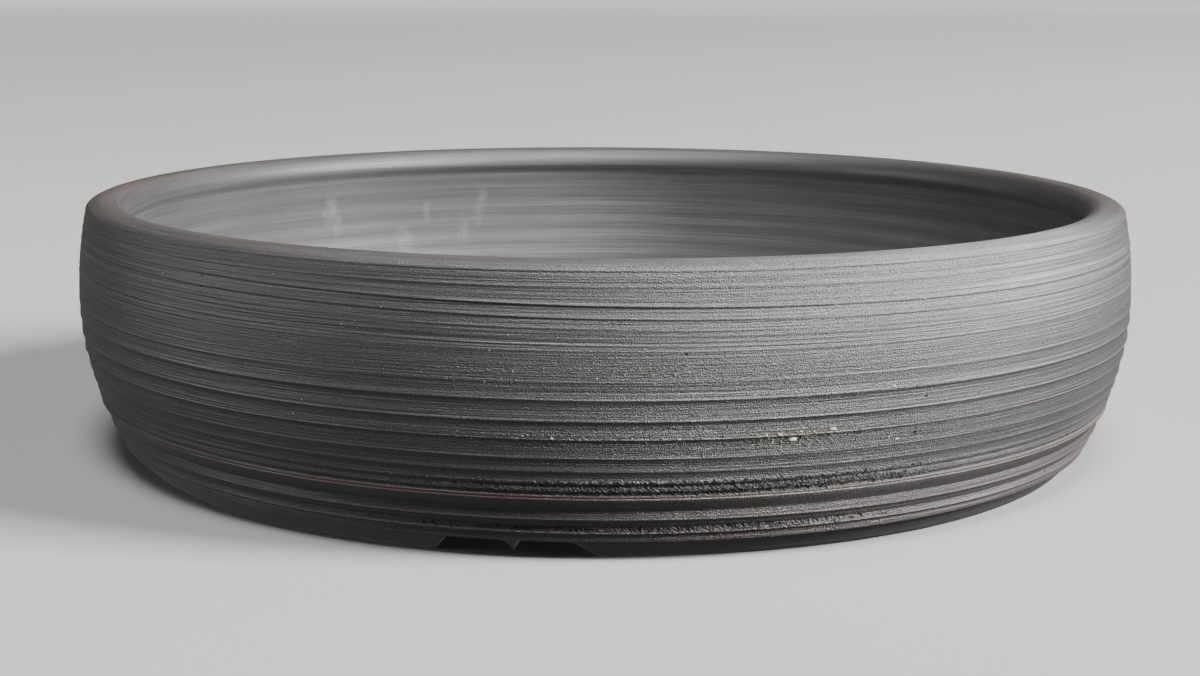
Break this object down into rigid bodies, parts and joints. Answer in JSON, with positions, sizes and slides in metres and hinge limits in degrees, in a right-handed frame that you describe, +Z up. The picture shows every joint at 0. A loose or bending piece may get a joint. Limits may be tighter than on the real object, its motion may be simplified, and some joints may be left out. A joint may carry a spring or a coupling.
{
  "type": "round bonsai pot",
  "caption": "Shallow round bonsai pot of unglazed stoneware, with a rolled lip, a turned wall, low luted feet and screened drainage holes.",
  "frame": {"origin": "on the pot's axis, at the level of the surface it stands on", "axes": "+Z up along the pot's axis; -Y is the front, as the picture shows it, and +X its right"},
  "size_m": [0.3002, 0.3002, 0.0708],
  "materials": {
    "stoneware": "unglazed, matt, with fine turning lines",
    "mesh_plastic": "moulded net, slightly waxy",
    "aluminium_wire": "drawn soft wire, satin"
  },
  "bodies": {
    "root": {"pot_body": "stoneware", "foot_right": "stoneware", "foot_back": "stoneware", "foot_left": "stoneware", "drain_screen_1": "mesh_plastic", "drain_screen_2": "mesh_plastic", "drain_screen_3": "mesh_plastic", "screen_clip_1": "aluminium_wire", "screen_clip_2": "aluminium_wire", "screen_clip_3": "aluminium_wire"}
  },
  "joints": []
}
